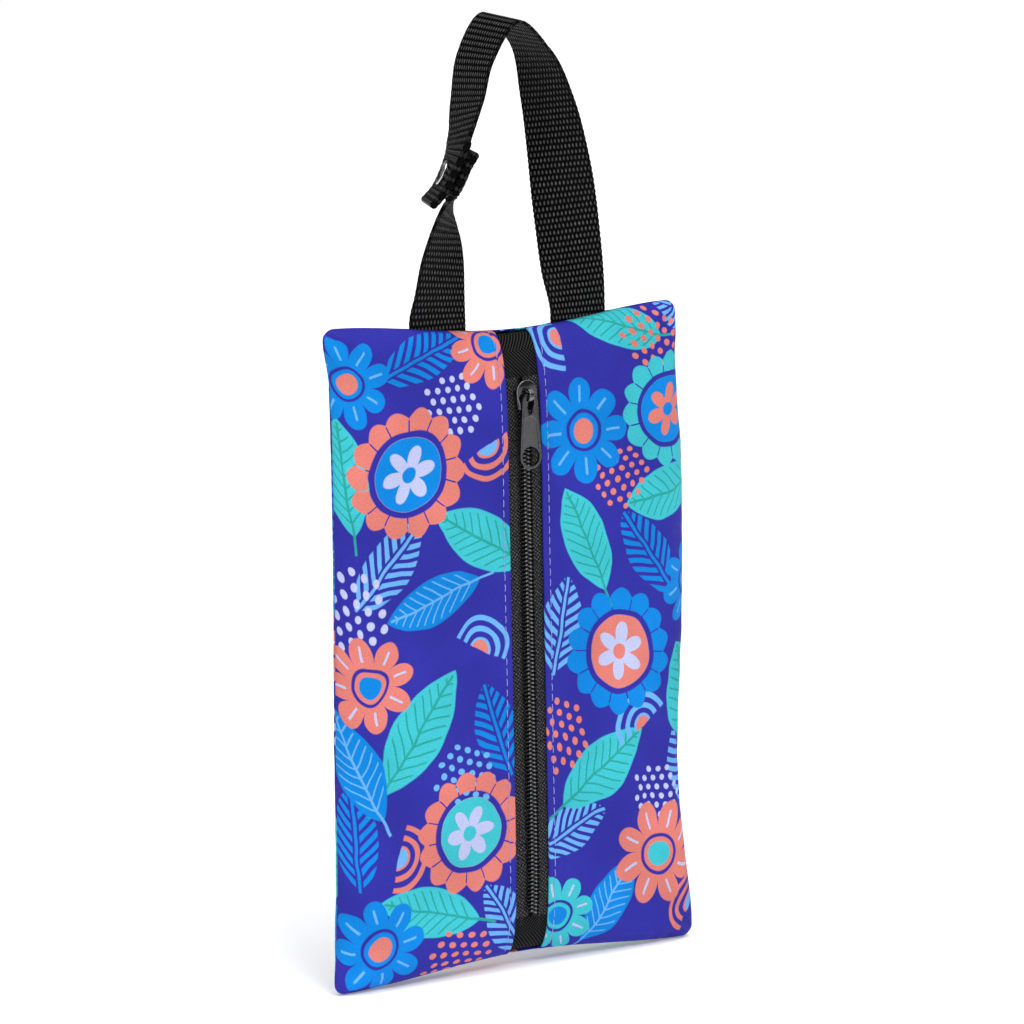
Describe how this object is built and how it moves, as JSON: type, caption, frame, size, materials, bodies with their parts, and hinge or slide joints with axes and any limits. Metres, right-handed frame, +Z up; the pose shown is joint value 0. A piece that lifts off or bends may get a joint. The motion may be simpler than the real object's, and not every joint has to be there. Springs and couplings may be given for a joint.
{
  "type": "tissue pouch",
  "caption": "Flat fabric tissue pouch with a zip down its front and a snapped webbing hanging loop.",
  "frame": {"origin": "inner face of the webbing loop's top, over the middle of the zip, where the pouch hangs", "axes": "+Z up along the hanging pouch, -Y out of the zipped front, +X to the right seen from the front"},
  "size_m": [0.1637, 0.0315, 0.3688],
  "materials": {
    "printed_cloth": "smooth printed polyester cloth, satin",
    "zip_fabric": "fine black woven zip tape",
    "tab_fabric": "coarse black diagonal weave",
    "coil_nylon": "black nylon coil",
    "slider_enamel": "glossy black enamel",
    "pull_metal": "dark gunmetal, matte with a brighter rim",
    "webbing": "coarse black polypropylene webbing",
    "snap_nickel": "polished nickel"
  },
  "bodies": {
    "pouch": {"back_panel": "printed_cloth", "front_panel_left": "printed_cloth", "front_panel_right": "printed_cloth", "zipper_tape_left": "zip_fabric", "zipper_tape_right": "zip_fabric", "end_tab_top": "tab_fabric", "end_tab_bottom": "tab_fabric", "zipper_coil": "coil_nylon", "slider_body": "slider_enamel", "strap_long": "webbing", "strap_short": "webbing", "snap_cap": "snap_nickel", "snap_stud": "snap_nickel", "snap_socket": "snap_nickel"},
    "pull": {"slider_pull": "pull_metal"}
  },
  "joints": [
    {"name": "pull_swing", "type": "hinge", "parent": "pouch", "child": "pull", "pos_m": [0, -0.01397, -0.14144], "axis": [-1, 0, 0], "range_deg": [0, 165]}
  ]
}
